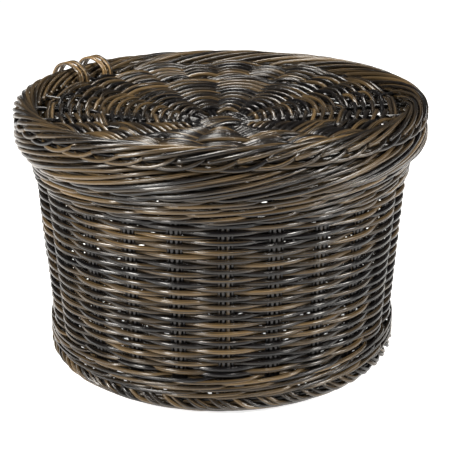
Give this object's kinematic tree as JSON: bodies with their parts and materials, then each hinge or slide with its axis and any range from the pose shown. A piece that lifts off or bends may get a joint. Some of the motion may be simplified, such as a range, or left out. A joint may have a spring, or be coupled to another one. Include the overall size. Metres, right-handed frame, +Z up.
{
  "type": "lidded wicker basket",
  "caption": "Round lidded basket woven from round resin cane, with a tapering wall, a wide rim, a foot border and a lid hinged on cane loops.",
  "frame": {"origin": "middle of the footprint on the surface the basket stands on; the basket's own axis is 6.25 mm towards -Y of it, because the hinge stands out at +Y", "axes": "+Z up through the lid, +Y towards the hinge, +X to the right when looking along +Y"},
  "size_m": [0.4002, 0.4132, 0.2678],
  "materials": {
    "weave_cane": "satin, dark charcoal and brown mottled along each cane",
    "border_cane": "satin, brown and grey mottled along each cane",
    "stake_cane": "satin, dark brown",
    "hinge_cane": "satin golden brown"
  },
  "bodies": {
    "basket": {"foot_border": "border_cane", "base_cross": "stake_cane", "base_weave": "weave_cane", "base_knot": "weave_cane", "lower_waling": "border_cane", "wall_weave": "weave_cane", "upper_waling": "border_cane", "rim_border": "border_cane", "side_stake_01": "stake_cane", "side_stake_02": "stake_cane", "side_stake_03": "stake_cane", "side_stake_04": "stake_cane", "side_stake_05": "stake_cane", "side_stake_06": "stake_cane", "side_stake_07": "stake_cane", "side_stake_08": "stake_cane", "side_stake_09": "stake_cane", "side_stake_10": "stake_cane", "side_stake_11": "stake_cane", "side_stake_12": "stake_cane", "side_stake_13": "stake_cane", "side_stake_14": "stake_cane", "side_stake_15": "stake_cane", "side_stake_16": "stake_cane", "side_stake_17": "stake_cane", "side_stake_18": "stake_cane", "side_stake_19": "stake_cane", "side_stake_20": "stake_cane", "side_stake_21": "stake_cane", "side_stake_22": "stake_cane", "side_stake_23": "stake_cane", "side_stake_24": "stake_cane", "side_stake_25": "stake_cane", "hinge_basket_loop_left": "hinge_cane", "hinge_basket_loop_right": "hinge_cane"},
    "lid": {"lid_weave": "weave_cane", "lid_knot": "weave_cane", "lid_border": "border_cane", "lid_spoke_01": "stake_cane", "lid_spoke_02": "stake_cane", "lid_spoke_03": "stake_cane", "lid_spoke_04": "stake_cane", "lid_spoke_05": "stake_cane", "lid_spoke_06": "stake_cane", "lid_spoke_07": "stake_cane", "lid_spoke_08": "stake_cane", "lid_spoke_09": "stake_cane", "lid_spoke_10": "stake_cane", "lid_spoke_11": "stake_cane", "lid_spoke_12": "stake_cane", "lid_spoke_13": "stake_cane", "hinge_lid_loop_left_inner": "hinge_cane", "hinge_lid_loop_left_outer": "hinge_cane", "hinge_lid_loop_right_inner": "hinge_cane", "hinge_lid_loop_right_outer": "hinge_cane"}
  },
  "joints": [
    {"name": "lid_hinge", "type": "hinge", "parent": "basket", "child": "lid", "pos_m": [0, 0.20075, 0.2405], "axis": [-1, 0, 0], "range_deg": [0, 110]}
  ]
}
